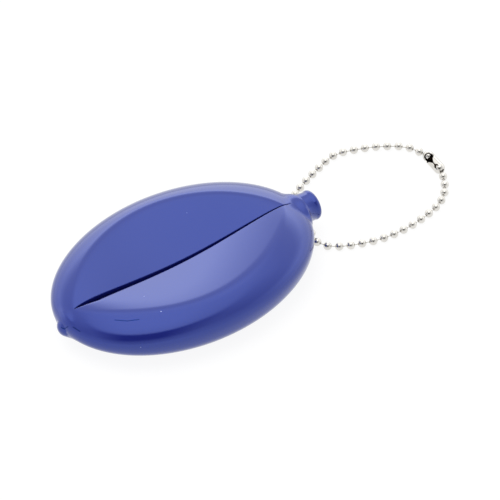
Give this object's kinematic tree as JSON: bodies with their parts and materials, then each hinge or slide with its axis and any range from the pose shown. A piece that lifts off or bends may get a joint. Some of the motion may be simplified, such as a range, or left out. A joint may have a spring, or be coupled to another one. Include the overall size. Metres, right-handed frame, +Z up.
{
  "type": "squeeze coin purse",
  "caption": "Oval slit-top vinyl coin pouch that springs open when its ends are pressed, with a ball chain and snap connector.",
  "frame": {"origin": "middle of the flat that the pouch rests on", "axes": "+X along the slit towards the neck and chain, +Z up"},
  "size_m": [0.1293, 0.054, 0.0156],
  "materials": {
    "vinyl": "soft glossy royal-blue vinyl",
    "nickel": "bright nickel plate"
  },
  "bodies": {
    "pouch": {"pouch_body": "vinyl"},
    "left_lip": {"left_lip": "vinyl"},
    "right_lip": {"right_lip": "vinyl"},
    "chain_at_eyelet": {"eyelet_balls": "nickel", "eyelet_links": "nickel"},
    "row_04": {"far_ball_04": "nickel", "near_ball_04": "nickel", "links_04": "nickel"},
    "row_05": {"far_ball_05": "nickel", "near_ball_05": "nickel", "links_05": "nickel"},
    "row_06": {"far_ball_06": "nickel", "near_ball_06": "nickel", "links_06": "nickel"},
    "row_07": {"far_ball_07": "nickel", "near_ball_07": "nickel", "links_07": "nickel"},
    "row_08": {"far_ball_08": "nickel", "near_ball_08": "nickel", "links_08": "nickel"},
    "row_09": {"far_ball_09": "nickel", "near_ball_09": "nickel", "links_09": "nickel"},
    "row_10": {"far_ball_10": "nickel", "near_ball_10": "nickel", "links_10": "nickel"},
    "row_11": {"far_ball_11": "nickel", "near_ball_11": "nickel", "links_11": "nickel"},
    "row_12": {"far_ball_12": "nickel", "near_ball_12": "nickel", "links_12": "nickel"},
    "row_13": {"far_ball_13": "nickel", "near_ball_13": "nickel", "links_13": "nickel"},
    "row_14": {"far_ball_14": "nickel", "near_ball_14": "nickel", "links_14": "nickel"},
    "row_15": {"far_ball_15": "nickel", "near_ball_15": "nickel", "links_15": "nickel"},
    "row_16": {"far_ball_16": "nickel", "near_ball_16": "nickel", "links_16": "nickel"},
    "row_17": {"far_ball_17": "nickel", "near_ball_17": "nickel", "links_17": "nickel"},
    "row_18": {"far_ball_18": "nickel", "near_ball_18": "nickel", "links_18": "nickel"},
    "row_19": {"far_ball_19": "nickel", "near_ball_19": "nickel", "links_19": "nickel"},
    "row_20": {"far_ball_20": "nickel", "near_ball_20": "nickel", "links_20": "nickel"},
    "connector": {"connector": "nickel"}
  },
  "joints": [
    {"name": "left_lip_bend", "type": "hinge", "parent": "pouch", "child": "left_lip", "pos_m": [0, 0.018, 0.00087], "axis": [-1, 0, 0], "range_deg": [0, 25], "stiffness_Nm_per_rad": 0.05},
    {"name": "right_lip_bend", "type": "hinge", "parent": "pouch", "child": "right_lip", "pos_m": [0, -0.018, 0.00087], "axis": [1, 0, 0], "range_deg": [0, 25], "stiffness_Nm_per_rad": 0.05},
    {"name": "chain_swing", "type": "hinge", "parent": "pouch", "child": "chain_at_eyelet", "pos_m": [0.039, 0, 0.0064], "axis": [0, -1, 0], "range_deg": [-12, 90]},
    {"name": "chain_bend_04", "type": "hinge", "parent": "chain_at_eyelet", "child": "row_04", "pos_m": [0.04143, 0.00018, 0.00203], "axis": [0.0865, 0.9946, 0.0575], "range_deg": [-30, 30]},
    {"name": "chain_bend_05", "type": "hinge", "parent": "row_04", "child": "row_05", "pos_m": [0.04366, 0, 0.00142], "axis": [0.0856, 0.9961, 0.0204], "range_deg": [-30, 30]},
    {"name": "chain_bend_06", "type": "hinge", "parent": "row_05", "child": "row_06", "pos_m": [0.04635, 0.00001, 0.00125], "axis": [0.072, 0.9974, 0.004], "range_deg": [-30, 30]},
    {"name": "chain_bend_07", "type": "hinge", "parent": "row_06", "child": "row_07", "pos_m": [0.04928, 0.00007, 0.0012], "axis": [0.0619, 0.9981, 0], "range_deg": [-30, 30]},
    {"name": "chain_bend_08", "type": "hinge", "parent": "row_07", "child": "row_08", "pos_m": [0.05232, 0.00014, 0.0012], "axis": [0.0551, 0.9985, 0], "range_deg": [-30, 30]},
    {"name": "chain_bend_09", "type": "hinge", "parent": "row_08", "child": "row_09", "pos_m": [0.05543, 0.00026, 0.0012], "axis": [0.0491, 0.9988, 0], "range_deg": [-30, 30]},
    {"name": "chain_bend_10", "type": "hinge", "parent": "row_09", "child": "row_10", "pos_m": [0.05858, 0.0005, 0.0012], "axis": [-0.0429, -0.9991, 0], "range_deg": [-30, 30]},
    {"name": "chain_bend_11", "type": "hinge", "parent": "row_10", "child": "row_11", "pos_m": [0.06177, 0.00084, 0.0012], "axis": [-0.0375, -0.9993, 0], "range_deg": [-30, 30]},
    {"name": "chain_bend_12", "type": "hinge", "parent": "row_11", "child": "row_12", "pos_m": [0.06502, 0.001, 0.0012], "axis": [-0.0355, -0.9994, 0], "range_deg": [-30, 30]},
    {"name": "chain_bend_13", "type": "hinge", "parent": "row_12", "child": "row_13", "pos_m": [0.06825, 0.00082, 0.0012], "axis": [-0.034, -0.9994, 0], "range_deg": [-30, 30]},
    {"name": "chain_bend_14", "type": "hinge", "parent": "row_13", "child": "row_14", "pos_m": [0.07141, 0.00052, 0.0012], "axis": [-0.0309, -0.9995, 0], "range_deg": [-30, 30]},
    {"name": "chain_bend_15", "type": "hinge", "parent": "row_14", "child": "row_15", "pos_m": [0.07452, 0.00025, 0.0012], "axis": [-0.0274, -0.9996, 0], "range_deg": [-30, 30]},
    {"name": "chain_bend_16", "type": "hinge", "parent": "row_15", "child": "row_16", "pos_m": [0.07753, 0.00004, 0.0012], "axis": [0.0237, 0.9997, 0], "range_deg": [-30, 30]},
    {"name": "chain_bend_17", "type": "hinge", "parent": "row_16", "child": "row_17", "pos_m": [0.08034, -0.00003, 0.0012], "axis": [0.0243, 0.9997, 0], "range_deg": [-30, 30]},
    {"name": "chain_bend_18", "type": "hinge", "parent": "row_17", "child": "row_18", "pos_m": [0.0828, 0.00004, 0.0012], "axis": [0.0354, 0.9994, 0.0003], "range_deg": [-30, 30]},
    {"name": "chain_bend_19", "type": "hinge", "parent": "row_18", "child": "row_19", "pos_m": [0.08467, 0.00007, 0.00126], "axis": [0.0452, 0.999, 0.0037], "range_deg": [-30, 30]},
    {"name": "chain_bend_20", "type": "hinge", "parent": "row_19", "child": "row_20", "pos_m": [0.08589, 0.00001, 0.00145], "axis": [0.0439, 0.999, 0.0091], "range_deg": [-30, 30]},
    {"name": "connector_swivel", "type": "hinge", "parent": "row_20", "child": "connector", "pos_m": [0.0865, 0, 0.00165], "axis": [0.0698, 0.9976, 0], "continuous": true}
  ],
  "couplings": [
    {"joint": "right_lip_bend", "follows": "left_lip_bend", "ratio": 1}
  ]
}
